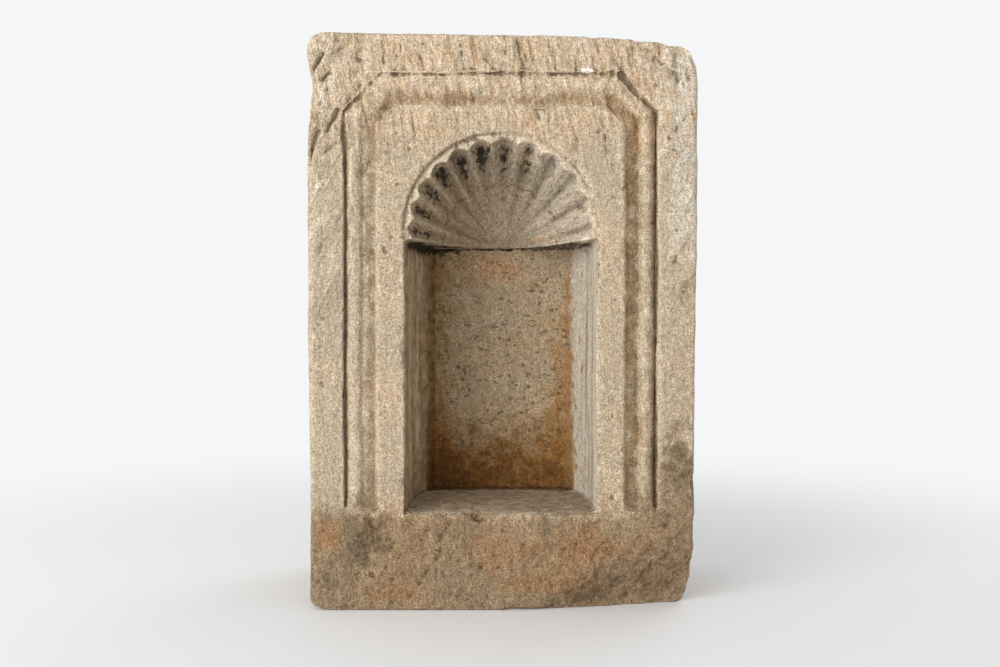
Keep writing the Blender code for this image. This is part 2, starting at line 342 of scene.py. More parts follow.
def frontFurrows(points):
    # depth of all the chisel cuts at points of the face, with wavering sides
    mm = 0.001
    x = points[:, 0] + 0.0010 * lumps(points, 0.010, 91)
    z = points[:, 2] + 0.0014 * lumps(points, 0.012, 92)
    total = np.zeros(len(x))
    for start, end, width, deep, skew in namedFurrows:
        a = (start[0] * mm, start[1] * mm)
        b = (end[0] * mm, end[1] * mm)
        total = np.maximum(total, deep * mm * furrow(x, z, a, b, width * mm, skew))
    for family in furrowFamilies:
        draw = np.random.RandomState(family["seed"])
        x0, x1, z0, z1 = (v * mm for v in family["box"])
        deepest = np.zeros(len(x))
        for item in range(family["count"]):
            sx, sz = draw.uniform(x0, x1), draw.uniform(z0, z1)
            lean = math.radians(draw.uniform(*family["lean"]))
            length = draw.uniform(*family["length"]) * mm
            width = draw.uniform(*family["width"]) * mm
            deep = draw.uniform(*family["depth"]) * mm
            ex, ez = sx + math.sin(lean) * length, sz - math.cos(lean) * length
            near = (np.abs(x - (sx + ex) / 2) < length / 2 + 0.012)
            near &= (np.abs(z - (sz + ez) / 2) < length / 2 + 0.012)
            cut = furrow(x[near], z[near], (sx, sz), (ex, ez), width, draw.uniform(0.5, 2.0))
            deepest[near] = np.maximum(deepest[near], deep * cut)
        total += deepest
    return total


def cutsInFace(points, at):
    # the same depths at all points, 0 off the face
    chosen = np.where(at["front"])[0]
    cuts = np.zeros(len(points))
    cuts[chosen] = frontFurrows(points[chosen])
    return cuts


def dressedMarks(points, along, across, seed, size):
    # coarse tooling: noise drawn out along the strokes
    length, width = relief[size]
    stretched = np.stack([
        points @ np.array(along) / length,
        points @ np.array(across) / width,
        points @ np.cross(along, across) / length], axis=1)
    return lumps(stretched, 1.0, seed)


def acrossMoulding(at):
    # millimetres inwards from the moulding's outer line, and which of its runs is nearest
    b = block
    side = np.abs(at["across"])
    bow = 0.0030 * hill(side - at["z"] + 0.397, 0.024)
    inward = np.stack([
        b["mouldingHalf"] - side,
        b["mouldingTop"] - at["z"],
        (moulding["cantLine"] - bow - side - at["z"]) / math.sqrt(2)]) * 1000
    return np.min(inward, axis=0), np.argmin(inward, axis=0)


def mouldingKept(points, at):
    # the share of its depth that the moulding keeps at each point
    m = moulding
    side = np.abs(at["across"])
    onLeft = at["across"] < 0
    inCant = ramp(side + at["z"], 0.630, 0.662)
    sideKept = np.where(onLeft, m["leftRun"], m["rightRun"])
    cantKept = np.where(onLeft, m["leftCant"], m["rightCant"])
    kept = sideKept + (cantKept - sideKept) * inCant
    cantStart = np.where(onLeft, 0.104, 0.122)
    overTop = ramp(at["z"], 0.512, 0.530) * (1 - ramp(side - cantStart, 0.0, 0.024))
    kept = kept + (m["top"] - kept) * overTop
    kept = kept * (0.45 + 0.55 * ramp(at["z"], block["sill"] + 0.002, block["sill"] + 0.022))
    return kept * (1 + 0.15 * lumps(points, 0.030, 3))


def wearMoulding(points, edges, at):
    # the moulding is drawn into its worn profile, run by run
    b = block
    m = moulding
    cut, run = acrossMoulding(at)
    onMoulding = (at["front"] > 0.5) & (cut > -2.5) & at["aboveSill"]
    inMoulding = onMoulding & (cut < m["width"] + 2.5)
    now = np.interp(cut, m["cut"], m["now"])
    left = np.interp(cut, m["cut"], m["depthLeft"])
    depth = at["depth"] * left * np.clip(mouldingKept(points, at), 0.2, 1.2)
    lean = m["wallLean"] * depth * 1000 * hill(cut - m["width"], 2.0)
    shift = np.where(inMoulding, (now - cut - lean) / 1000, 0)
    out = np.sign(at["across"])
    points[:, 0] -= shift * out * np.choose(run, (1.0, 0.0, math.sqrt(0.5)))
    points[:, 2] -= shift * np.choose(run, (0.0, 1.0, math.sqrt(0.5)))
    points[:, 1] = np.where(inMoulding, b["face"] + depth, points[:, 1])
    inner = m["width"] + np.where(at["across"] > 0, m["rightSoftness"], 0.0)
    rubbed = ramp(cut, -1.0, 2.5) * (1 - ramp(cut, inner - 4.0, inner - 1.0))
    flattened = (run > 0) & (cut < m["width"] + 5.0)
    nearMoulding = onMoulding & (cut < m["width"] + 6.0)
    rubbed = np.where(flattened, 1.0, rubbed) * nearMoulding * 0.5
    points = relax(points, edges, rubbed, m["rounding"])
    sway = at["front"] * (at["z"] > b["sill"] - 0.002)
    points[:, 0] += sway * 0.0009 * lumps(points, 0.045, 5)
    points[:, 2] += sway * 0.0008 * lumps(points, 0.040, 6)
    return points


def softenSkin(points, edges, at):
    # every arris is softened a little, and the outer ones and the flake at the foot most
    b = block
    points = relax(points, edges, np.full(len(points), 0.45), skin["rounding"])
    soft = 0.75 * hill(at["arris"], 0.0085) * ~at["inShell"] * ~at["inChamber"]
    points = relax(points, edges, np.clip(soft, 0, 0.6), skin["arrisRounding"])
    share = np.hypot(at["across"], at["rise"]) / shellReach(np.arctan2(at["rise"], at["across"]))
    low = 0.55 * at["inShell"] * (1 - 0.85 * ramp(share, 0.45, 0.80))
    points = relax(points, edges, low, skin["shellRounding"])
    sill = 0.7 * hill(np.hypot(at["z"] - b["sill"], at["depth"]), 0.006)
    sill = sill * (np.abs(at["across"]) < b["nicheHalf"])
    points = relax(points, edges, np.clip(sill, 0, 0.6), skin["arrisRounding"])
    flakeLine = (b["right"] - at["x"]) * 0.100 / 0.185 + at["z"] - 0.100
    onFlake = hill(flakeLine, 0.016) * (at["z"] < b["sill"] - 0.002) * (at["x"] > 0.0) * (at["depth"] < 0.05)
    return relax(points, edges, np.clip(onFlake * 0.9, 0, 0.6), skin["flakeRounding"])


def grooveFirmness(points, at, run):
    # how plain the moulding's outer line still is: broken on top, nearly gone on the left cant
    firm = moulding["grooveFirmness"]
    onTop = np.clip(0.26 + 0.5 * lumps(points, 0.035, 59), 0.05, 0.55)
    onCant = np.where(at["across"] < 0, firm["leftCant"], firm["rightCant"])
    cornerAcross = moulding["cantLine"] - block["mouldingTop"]
    corner = np.hypot(np.abs(at["across"]) - cornerAcross, at["z"] - block["mouldingTop"])
    return np.choose(run, (firm["sides"], onTop, onCant)) * (1 - 0.7 * hill(corner, 0.022))


def archLine(at):
    onBand = (at["rise"] > 0.0) & (at["depth"] < 0.006)
    return hill(at["reach"] - block["nicheHalf"] - 0.0006, 0.0029) * onBand


def tooledShare(points, at):
    # how strongly the strokes of the chisel show, over the face
    share = ramp(at["z"], 0.465, 0.510) * (0.85 + 0.4 * lumps(points, 0.05, 58))
    share = np.maximum(share, 0.6 * ramp(-at["x"], 0.165, 0.185) * ramp(at["z"], 0.36, 0.46))
    return np.clip(np.maximum(share, 0.18 + 0.12 * lumps(points, 0.06, 56)), 0, 1.2)


def sillChip(at):
    # the share of the chip knocked out of the sill
    gap = np.hypot(at["x"] - relief["chipAcross"], at["depth"] - 0.002)
    return hill(np.hypot(gap, at["z"] - block["sill"] + 0.001), relief["chipRadius"])


# Depths in metres of what is cut, struck or worn away, each with the size of its lumps where it has one.
relief = {
    "swell": (0.0009, 0.070),
    "dents": (0.0004, 0.016),
    "frontGrain": 0.00026,
    "otherGrain": 0.00010,
    "baseSwell": (0.0015, 0.026),
    "basePoint": (0.0013, 0.0095),         # the pointed base
    "baseStandsProud": 0.0008,
    "strokes": 0.0015,                     # the upright strokes over the upper part
    "strokeSize": (0.034, 0.0078),         # their length and width
    "scuffs": 0.0008,
    "nicks": (0.0016, 0.0105),
    "scabbling": (0.0012, 0.013),
    "archLine": 0.0040,
    "sideMarks": 0.0018,
    "sideMarkSize": (0.034, 0.0075),
    "topMarkSize": (0.040, 0.0085),
    "sideRough": (0.0011, 0.020),
    "topRough": (0.0011, 0.022),
    "backMarks": 0.0026,
    "backMarkSize": (0.030, 0.0110),
    "backRough": (0.0016, 0.030),
    "arrisChips": (0.0019, 0.017),
    "jambChips": (0.0030, 0.014),
    "sillChips": (0.0024, 0.012),
    "chipAcross": -0.0275,                 # the chip in the sill
    "chipRadius": 0.0105,
    "chip": 0.0050,
    "wallPits": (0.0010, 0.0065),
    "wallHoles": 0.0026,
}


def roughness(kind, points, seed, octaves):
    deep, size = relief[kind]
    return deep * rough(points, size, seed, octaves)


def reliefDepth(points, at):
    # how far below the skin each point is cut, struck or worn away
    depth = roughness("swell", points, 21, 2)
    depth += roughness("dents", points, 25, 2)
    grain = np.where(at["front"], relief["frontGrain"], relief["otherGrain"])
    depth += grain * rough(points, 0.0050, 31, 2)
    depth += faceRelief(points, at)
    depth += dressedRelief(points, at)
    depth += edgeRelief(points, at)
    depth += wallRelief(points, at)
    underside = (at["normals"][:, 2] < -0.6) & (at["z"] < 0.006)
    return np.where(underside, 0.0, depth)


def faceRelief(points, at):
    # the chisel's work on the face, and what has been knocked out of it
    b = block
    x, z, front = at["x"], at["z"], at["front"]
    depth = cutsInFace(points, at) * ramp(-at["normals"][:, 1], 0.15, 0.6)

    # the base is left rough from the point chisel
    base = front * (1 - ramp(z, b["sill"] - 0.004, b["sill"] + 0.003))
    depth += base * (roughness("baseSwell", points, 41, 3) + np.abs(roughness("basePoint", points, 45, 3)))
    depth -= base * relief["baseStandsProud"]

    # the upper part is covered with nearly upright strokes of the chisel, lighter lower down
    tooled = front * tooledShare(points, at)
    strokes = dressedMarks(points, (-0.17, 0, 0.985), (0.985, 0, 0.17), 51, "strokeSize")
    depth += tooled * relief["strokes"] * np.clip(strokes + 0.1, -0.4, 0.8)
    drawnUp = np.array([1, 1, 0.35])
    depth += tooled * relief["scuffs"] * np.abs(rough(points * drawnUp, 0.0060, 53, 2))

    # the groove down the moulding's outer side, nicks, and the scabbled border by the left shoulder
    cut, run = acrossMoulding(at)
    firm = grooveFirmness(points, at, run) * front * (z > b["sill"] + 0.003)
    groove = hill((cut - moulding["grooveLine"]) / 1000, moulding["grooveWidth"])
    depth += moulding["grooveDepth"] * groove * firm
    nickDepth, nickSize = relief["nicks"]
    depth += nickDepth * ramp(rough(points, nickSize, 83, 2), 0.70, 1.15) * front
    shoulder = front * hill(np.hypot((x + 0.19) / 0.04, (z - 0.53) / 0.09), 1.0)
    depth += shoulder * np.abs(roughness("scabbling", points @ lumpTurn, 55, 2))

    # the line cut round the shell's band, firmest at the left
    turn = np.arctan2(at["rise"] - b["stilt"], at["across"])
    firm = 0.35 + 0.65 * ramp(turn, 1.25, 2.2) + 0.35 * hill(turn - 0.75, 0.3)
    firm *= 0.8 + 0.35 * lumps(points, 0.012, 57)
    return depth + relief["archLine"] * archLine(at) * np.clip(firm, 0, 1.2)


def dressedRelief(points, at):
    # plain sides, top and back, dressed with the point and the claw
    b = block
    normals = at["normals"]
    hidden = at["inChamber"] | at["inShell"]
    isSide = (np.abs(normals[:, 0]) > 0.7) & ~hidden & (np.abs(at["across"]) > 0.18)
    isTop = (normals[:, 2] > 0.7) & (at["z"] > b["top"] - 0.03)
    isBack = (normals[:, 1] > 0.7) & (at["y"] > b["back"] - 0.01)
    sideMarks = dressedMarks(points, (0, 0.50, 0.866), (0, 0.866, -0.50), 61, "sideMarkSize")
    topMarks = dressedMarks(points, (0.35, 0.937, 0), (0.937, -0.35, 0), 62, "topMarkSize")
    backMarks = dressedMarks(points, (0.55, 0, 0.835), (0.835, 0, -0.55), 63, "backMarkSize")
    behind = 0.15 + 0.85 * ramp(at["depth"], 0.006, 0.035)
    onSide = relief["sideMarks"] * np.clip(sideMarks, -0.3, 1) + roughness("sideRough", points, 64, 3)
    onTop = relief["sideMarks"] * np.clip(topMarks, -0.3, 1) + roughness("topRough", points, 66, 3)
    onBack = relief["backMarks"] * np.clip(backMarks, -0.4, 1) + roughness("backRough", points, 68, 3)
    return isSide * behind * onSide + isTop * behind * onTop + isBack * onBack


def edgeRelief(points, at):
    # chips along the outer arrises, then along the recess's own edges, and the large chip in the sill
    b = block
    z = at["z"]
    side = np.abs(at["across"])
    hidden = at["inChamber"] | at["inShell"]
    arrisDepth, arrisSize = relief["arrisChips"]
    chips = ramp(rough(points, arrisSize, 71, 2), 0.40, 1.15)
    depth = arrisDepth * chips * hill(at["arris"], 0.0060) * ~hidden
    inHeight = (z < b["springing"]) & (z > b["sill"])
    jambEdge = hill(np.hypot(side - b["nicheHalf"], at["depth"]), 0.0045) * inHeight
    jambDepth, jambSize = relief["jambChips"]
    depth += jambDepth * ramp(rough(points, jambSize, 75, 2), 0.10, 0.9) * jambEdge
    sillEdge = hill(np.hypot(z - b["sill"], at["depth"]), 0.0045) * (side < b["nicheHalf"])
    sillDepth, sillSize = relief["sillChips"]
    depth += sillDepth * ramp(rough(points, sillSize, 77, 2), 0.0, 0.8) * sillEdge
    return depth + relief["chip"] * sillChip(at) * (1 + 0.5 * lumps(points, 0.005, 85))


def wallRelief(points, at):
    # small pits and holes in the back wall
    pitted = at["inChamber"] * ramp(at["depth"], 0.10, 0.145)
    pitDepth, pitSize = relief["wallPits"]
    depth = pitDepth * ramp(rough(points, pitSize, 81, 2), 0.65, 1.0) * pitted
    return depth + relief["wallHoles"] * holesInWall(points) * pitted


def workSkin(piece):
    mesh = piece.data
    points = readPoints(mesh)
    edges = readEdges(mesh)
    at = places(points.copy(), readNormals(mesh))
    points = wearMoulding(points, edges, at)
    points = softenSkin(points, edges, at)
    print("arrises softened")
    points = points - at["normals"] * reliefDepth(points, at)[:, None]
    points[:, 2] = np.maximum(points[:, 2], 0.0)
    mesh.vertices.foreach_set("co", points.ravel())
    mesh.update()
    print("relief cut")


def thinSkin(piece):
    # fewer triangles, most of them kept for the carved side
    mesh = piece.data
    points = readPoints(mesh)
    behind = ramp(points[:, 1] - block["face"], skin["plainFrom"], skin["plainTo"])
    inNiche = np.abs(points[:, 0] - block["middle"]) < block["nicheHalf"] + 0.0155
    inNiche &= (points[:, 2] > 0.09) & (points[:, 2] < 0.51)
    inNiche &= points[:, 1] < block["face"] + block["nicheDepth"] + 0.015
    weight = skin["frontShare"] + (1 - skin["frontShare"]) * np.where(inNiche, 0.0, behind)
    group = piece.vertex_groups.new(name="plainer")
    for level in range(1, 21):
        share = level / 20
        chosen = np.where(np.abs(weight - share) <= 0.025)[0]
        if len(chosen):
            group.add(chosen.tolist(), share, "REPLACE")
    mesh.transform(Matrix.Scale(1000, 4))              # the thinning weighs its costs in millimetres
    thin = piece.modifiers.new("thin", "DECIMATE")
    thin.ratio = skin["triangles"] / (2 * len(mesh.polygons))
    thin.vertex_group = "plainer"
    thin.vertex_group_factor = skin["lengthCost"]
    applied(piece)
    piece.data.transform(Matrix.Scale(0.001, 4))
    piece.vertex_groups.clear()
    triangles = sum(len(p.vertices) - 2 for p in piece.data.polygons)
    carvedShare = np.mean((readPoints(piece.data)[:, 1] < block["face"] + 0.02))
    print("thinned to", triangles, "triangles;", round(carvedShare, 2), "of the points are in the face")


def patch(x, z, middle, size):
    # a soft oval patch on the face, both given in millimetres
    return np.exp(-((x * 1000 - middle[0]) / size[0]) ** 2 - ((z * 1000 - middle[1]) / size[1]) ** 2)


# The soft patches, in millimetres on the face: (middle x, z), (half width, half height), strength.
patches = {
    "ochreOnBase": [
        ((84, 64), (36, 24), 1.3), ((50, 28), (48, 11), 1.1), ((-4, 62), (34, 22), 1.0),
        ((-180, 76), (17, 20), 1.2), ((-112, 22), (36, 13), 1.0), ((150, 66), (30, 14), 0.6)],
    "ochreOnWall": [((-8, 364), (40, 18), 0.75)],
    "ochreOnHub": [((-3, 390), (13, 6), 0.9)],
    "rustOnWall": [((66, 240), (14, 80), 0.7)],
    "shadeOnBase": [
        ((150, 34), (70, 34), 0.55), ((-140, 70), (20, 22), 1.1), ((-186, 26), (14, 22), 0.5),
        ((86, 18), (26, 16), 0.6), ((-60, 84), (40, 14), 0.45)],
    "shadeOnBorder": [((184, 150), (20, 46), 0.9)],
    "earthOnBorder": [((184, 150), (26, 50), 0.80)],
    "chillOnBorder": [((-185, 300), (16, 160), 0.2)],
    "flecksInShell": [((50, 393), (18, 5), 1.0)],
    "limeOnBorder": [((87, 561), (7, 1.9), 1.9)],
    "limeOnLip": [((86, 387), (4, 2.5), 1.2)],
}

flutes = {
    "count": 12,
    "turnedIn": math.radians(5.0),         # how far the fan is drawn round towards its middle
    "growthAndShadow": [0.0, 0.30, 0.40, 0.50, 0.65, 0.85, 1.2, 0.95, 1.05, 1.0, 0.95, 0.85],   # from the right round
    "growthStrength": 0.70,
    "growthFrom": 0.83,                    # the share of the way out where the black growth begins
}


def patched(name, x, z):
    return sum(strength * patch(x, z, middle, size) for middle, size, strength in patches[name])


def shellReach(turn):
    # how far the shell's rim is from its hub
    b = block
    across = b["stilt"] * np.cos(turn)
    return b["stilt"] * np.sin(turn) + np.sqrt(b["shellHalf"] ** 2 - across ** 2)


def shellPlaces(at):
    # the turn round the fan in flutes, and the share of the way out to the rim
    turn = np.arctan2(at["rise"], at["across"])
    even = turn - flutes["turnedIn"] * np.sin(turn)
    share = np.hypot(at["across"], at["rise"]) / shellReach(turn)
    return even / math.pi * flutes["count"], share


def growthAndShadowMask(points, at):
    # black growth in the head of each flute, on its shaded left side, partly painted shade there; under the
    # shell's lip a band of painted shadow with growth, thickest at the left
    fan, share = shellPlaces(at)
    flute = np.clip(fan.astype(int), 0, flutes["count"] - 1)
    strength = flutes["growthStrength"] * np.array(flutes["growthAndShadow"])[flute]
    begin = flutes["growthFrom"] + 0.05 * lumps(points, 0.012, 115)
    inHead = ramp(share, begin - 0.08, begin + 0.08) * (1 - ramp(share, 1.00, 1.04))
    growthAndShadow = strength * hill(fan - flute - 0.50, 0.34) * inHead * at["inShell"]
    # painted shadow with growth: a dark band under the shell's lip, thicker and darker at the left
    lip = at["inChamber"] * ramp(at["depth"], 0.02, 0.05)
    hang = 0.0032 + 0.005 * (1 - ramp(at["across"], -0.09, -0.03))
    drips = lumps(np.stack([at["x"] / 0.009, at["z"] / 0.05, at["y"] / 0.02], axis=1), 1.0, 113)
    hang *= 1 + 0.5 * drips
    lipShadow = hill(at["z"] - block["springing"], hang)
    return growthAndShadow + lip * lipShadow * (1.0 - 0.35 * ramp(at["across"], -0.09, 0.0))


def stoneParts(points, at):
    # how far each point belongs to each part of the block that the stains keep to, from 0 to 1
    x, z, across, depth, normals = at["x"], at["z"], at["across"], at["depth"], at["normals"]
    chamber, shell, front = at["inChamber"], at["inShell"], at["front"]
    sill = block["sill"]
    cut, run = acrossMoulding(at)
    fan, share = shellPlaces(at)
    wander = rough(points, 0.030, 101, 3)
    wall = chamber * ramp(depth, 0.125, 0.146)
    inBand = front * at["aboveSill"]
    hollow = hill(cut - 27.0 + 3 * wander, 7.5) * inBand
    jambGrit = rough(points, 0.008, 153, 3)
    return {
        "xNear": x + 0.007 * wander,       # the place, wandering a little, which breaks up the patches
        "zNear": z + 0.007 * rough(points, 0.028, 105, 3),
        "cuts": np.clip(cutsInFace(points, at) / 0.0016, 0, 1),
        "wall": wall,
        "wallLeft": wall * (1 - ramp(across, -0.085, -0.040)),
        "rightJamb": chamber * ramp(-normals[:, 0], 0.2, 0.7),
        "leftJamb": chamber * ramp(normals[:, 0], 0.2, 0.7),
        "floor": chamber * ramp(normals[:, 2], 0.4, 0.8),
        "base": front * (1 - ramp(z, sill - 0.003, sill + 0.003)),
        "moulding": (front > 0.5) * (cut > 4) * (cut < 40) * at["aboveSill"],
        "hollow": hollow,
        "rightFlat": hollow * (x > 0) * (run != 1),
        "topFlat": hollow * (run == 1),
        # painted shade: the right bead darkening towards its outer side
        "beadShadeSide": inBand * (x > 0) * (run == 0) * (cut > 2) * (1 - ramp(cut, 4, 19)),
        # the moulding's outer groove, where painted shade is laid
        "groove": hill(cut - 1.6, 1.1) * inBand * grooveFirmness(points, at, run),
        # painted highlight along the flutes' ridges and painted shade in their beds
        "ridgeHighlight": hill(fan - np.round(fan), 0.17) * shell * ramp(share, 0.35, 0.85),
        "bedShade": hill(fan - np.floor(fan) - 0.55, 0.16) * shell * ramp(share, 0.30, 0.75),
        "flecks": shell * patched("flecksInShell", x, z) * ramp(rough(points, 0.009, 151, 2), 0.0, 0.5),
        "jambFlecks": ramp(depth, 0.04, 0.09) * ramp(jambGrit, 0.35, 0.85),
        "dressed": (1 - np.clip(front, 0, 1)) * ~chamber * ~shell,
        "fan": fan,
        "share": share,
    }


def grimeAndShadeMask(points, at, on, near, wide):
    # dirt and painted shade in every hollow and hole, in the flutes' beds and along the cut lines, and a
    # little painted shade over the left jamb
    grimeAndShade = 0.8 * np.clip(near / 0.0009, 0, 1) + 0.6 * np.clip(wide / 0.0022, 0, 1)
    grimeAndShade *= 1 - 0.65 * at["inChamber"] - 0.5 * on["moulding"]
    grimeAndShade += 1.1 * holesInWall(points) * on["wall"]
    outerRight = ramp(at["across"], 0.0, 0.04) * ramp(on["share"], 0.5, 0.85)
    # painted shade in the flutes' beds, more on the right half's outer part
    grimeAndShade += on["bedShade"] * (0.34 + 0.26 * outerRight)
    # painted shadow along the line round the shell's band, heaviest on the left, and in the moulding's outer
    # groove
    grimeAndShade += archLine(at) * (0.45 + 0.6 * ramp(-at["x"], -0.03, 0.04)) + 0.55 * on["groove"]
    return grimeAndShade + 0.05 * on["wall"] + 0.12 * on["leftJamb"] + 0.04 * at["inShell"]


def rustMask(points, at, on):
    # strongest at the foot of the back wall, with flecks and streaks up its right side
    x, z, depth, across = at["x"], at["z"], at["depth"], at["across"]
    foot = 1 - ramp(z + 0.35 * (on["zNear"] - z), 0.112, 0.235)
    rust = on["wall"] * (1.15 * foot + 0.30 * ramp(np.abs(across), 0.05, 0.08))
    rust += on["rightJamb"] * (0.55 * ramp(depth, 0.120, 0.148) + 1.1 * on["jambFlecks"])
    rust += 1.4 * hill(z - 0.19, 0.016) * hill(depth - 0.004, 0.003) * (across > 0.09) * at["inChamber"]
    rust += on["wall"] * patched("rustOnWall", on["xNear"], on["zNear"])
    rust += on["leftJamb"] * 0.35 * (1 - ramp(z, 0.14, 0.30))
    rust += 0.45 * archLine(at) * (x > 0) + 0.9 * sillChip(at) + 0.5 * on["flecks"]
    rust += 0.30 * on["topFlat"] + 0.50 * on["rightFlat"] * ramp(z, 0.20, 0.46) + 0.30 * on["cuts"]
    return rust + 0.45 * on["wallLeft"] * (0.6 + 0.5 * lumps(points, 0.03, 131))


def ochreMask(at, on):
    xNear, zNear = on["xNear"], on["zNear"]
    ochre = patched("ochreOnBase", xNear, zNear) * on["base"]
    ochre += patched("ochreOnWall", xNear, zNear) * on["wall"] + 0.20 * on["wall"]
    return ochre + 1.9 * on["flecks"] + at["inShell"] * patched("ochreOnHub", at["x"], at["z"])


def shadeMask(at, on, stained):
    # brown-black tone: painted shade on the left jamb, deepest inside, and on the shell's top and left side;
    # darker towards the back wall's sides and foot, on the niche's floor and the moulding's right flat;
    # stains: dark stone low on the face, a patch on the border, the damp foot of the plain sides
    xNear, zNear, across = on["xNear"], on["zNear"], at["across"]
    shade = 0.20 * on["wallLeft"] + 0.20 * on["wall"] * ramp(across, 0.055, 0.08)
    shade += on["wall"] * 0.3 * (1 - ramp(at["z"], 0.105, 0.125))
    shade += 0.20 * on["rightFlat"] + 0.60 * on["floor"]
    shade += at["front"] * patched("shadeOnBorder", xNear, zNear)
    shade += on["base"] * (patched("shadeOnBase", xNear, zNear) + 0.20)
    # painted shade on the left jamb, deepening inwards
    shade += on["leftJamb"] * (0.50 + 0.25 * ramp(at["depth"], 0.09, 0.15))
    # painted shade on the shell's top and its left side
    shellTop = ramp(at["rise"], 0.045, 0.080) * (1 - ramp(across, 0.01, 0.05))
    shade += at["inShell"] * (0.60 * shellTop + 0.30 * ramp(-across, 0.015, 0.06))
    return shade + 0.7 * stained


def chillMask(at, on):
    # greyer, bluer stone
    depth, front = at["depth"], at["front"]
    chill = 0.75 * on["rightJamb"] * ramp(depth, 0.010, 0.05)
    chill += on["floor"] * (0.25 + 0.7 * ramp(depth, 0.10, 0.14))
    chill += on["leftJamb"] * 0.25 * hill(depth - 0.06, 0.03) + 0.10 * on["base"]
    chill += front * patched("chillOnBorder", on["xNear"], on["zNear"])
    return chill + 0.75 * front * ramp(at["x"], 0.150, 0.185) * ramp(at["z"], 0.30, 0.42)


def creamMask(at, on):
    # paler stone, with painted light on the shell's middle and right
    across, front, shell = at["across"], at["front"], at["inShell"]
    # painted light: the shell paler towards its middle and right
    cream = shell * (0.75 * ramp(across, -0.06, -0.01) + 0.8 * ramp(across, 0.02, 0.07))
    # the right jamb paler towards the front; painted highlight along the flutes' ridges
    cream += on["rightJamb"] * (1.2 - 0.3 * ramp(at["depth"], 0.010, 0.045)) + 0.7 * on["ridgeHighlight"]
    band = hill(at["reach"] - 0.094, 0.004) * (at["rise"] > 0)
    return cream + front * (0.4 * at["inArch"] + 0.30 * band + 0.45 * ramp(at["z"], 0.46, 0.52))


def earthAndShadeMask(points, at, on, stained):
    # multiplied in: the darker base, the moulding's flat, the lower wall, the sides of the cuts, and painted
    # shade down the right bead's outer side
    z, front, zNear = at["z"], at["front"], on["zNear"]
    baseEdge = front * (1 - ramp(z + 0.010 * rough(points, 0.026, 121, 3), 0.086, 0.116))
    earthAndShade = 0.75 * baseEdge + 0.35 * front * (1 - ramp(zNear, 0.100, 0.160))
    # painted shade down the right bead's outer, right-hand side
    earthAndShade += 0.68 * on["hollow"] + 0.25 * on["rightFlat"] + 0.70 * on["beadShadeSide"]
    earthAndShade += 0.60 * on["wall"] * (1 - ramp(zNear, 0.12, 0.20)) + 0.30 * on["wallLeft"]
    earthAndShade += front * patched("earthOnBorder", on["xNear"], zNear)
    return earthAndShade + 0.26 * on["cuts"] + 0.9 * stained


def umberMask(at, on):
    # multiplied in: yellow-brown, in the niche
    umber = 0.30 * on["wall"] + 0.70 * on["wallLeft"] + 0.40 * on["leftJamb"] + 0.5 * on["rightFlat"]
    umber += 0.5 * on["wall"] * (1 - ramp(on["zNear"], 0.12, 0.22))
    return umber + 0.24 * at["inShell"] * (1 - ramp(at["across"], 0.02, 0.06))


def paintMasks(piece):
    # where dirt, growth and stain lie, and where shade and highlights are painted, for the material to read
    mesh = piece.data
    points = readPoints(mesh)
    normals = readNormals(mesh)
    edges = readEdges(mesh)
    at = places(points, normals)
    on = stoneParts(points, at)
    x, z, front = at["x"], at["z"], at["front"]
    chamber, shell, base = at["inChamber"], at["inShell"], on["base"]
    even = np.full(len(points), 0.6)
    # how far each point lies below its neighbours: hollows get dirt and painted shade, rises are rubbed
    # paler
    near = np.einsum("ij,ij->i", relax(points, edges, even, 6) - points, normals)
    wide = np.einsum("ij,ij->i", relax(points, edges, even, 50) - points, normals) * ~shell
    dampFoot = 0.55 * (1 - ramp(on["zNear"], 0.02, 0.14))
    stained = on["dressed"] * (dampFoot + 0.35 * ramp(rough(points, 0.060, 141, 3), 0.0, 1.0))
    leftBorder = ramp(-x, 0.138, 0.165) * ramp(z, 0.20, 0.42)
    rightBorder = ramp(x, 0.150, 0.175) * ramp(z, 0.20, 0.40)
    masks = {
        "tooled": np.where(front, tooledShare(points, at), 0.35) * ~shell * ~chamber,
        "pitted": on["wall"],
        "streaked": (on["leftJamb"] + on["rightJamb"]) * (1 - ramp(at["depth"], 0.10, 0.14)),
        "grained": front * (leftBorder + 0.7 * rightBorder + 0.35 * base) + 0.9 * on["floor"],
        "dressed": on["dressed"],
        "onShell": shell * 1.0,
        "fan": on["fan"] * shell,
        "share": on["share"] * shell,
        # dirt and painted shade in hollows, holes, flute beds and cut lines
        "grimeAndShade": grimeAndShadeMask(points, at, on, near, wide),
        # rubbed, paler rises and arrises, with painted highlight on the shell's ridges
        "wearAndHighlight": np.clip(-near / 0.0006, 0, 1) + 0.5 * np.clip(-wide / 0.0020, 0, 1) + 0.5 * on["ridgeHighlight"],
        # growth and painted shade in the flutes' heads, painted shadow under the shell's lip
        "growthAndShadow": growthAndShadowMask(points, at),
        "rust": rustMask(points, at, on),
        "ochre": ochreMask(at, on),
        "shade": shadeMask(at, on, stained),
        "chill": chillMask(at, on),
        "cream": creamMask(at, on),
        "warm": 0.45 + 0.45 * ramp(z, 0.46, 0.54) + 0.3 * base - 0.35 * ramp(-x, 0.13, 0.19) * (z < 0.5),
        # the darker base, flat and lower wall, with painted shade on the right bead's outer side
        "earthAndShade": earthAndShadeMask(points, at, on, stained),
        "umber": umberMask(at, on),
        "lime": patched("limeOnBorder", x, z) * front + patched("limeOnLip", x, z),
    }
    for name, values in masks.items():
        layer = mesh.attributes.new(name, "FLOAT", "POINT")
        most = flutes["count"] if name == "fan" else 1.5
        layer.data.foreach_set("value", np.clip(values, 0, most).astype(np.float32))
    print("masks painted:", ", ".join(masks))


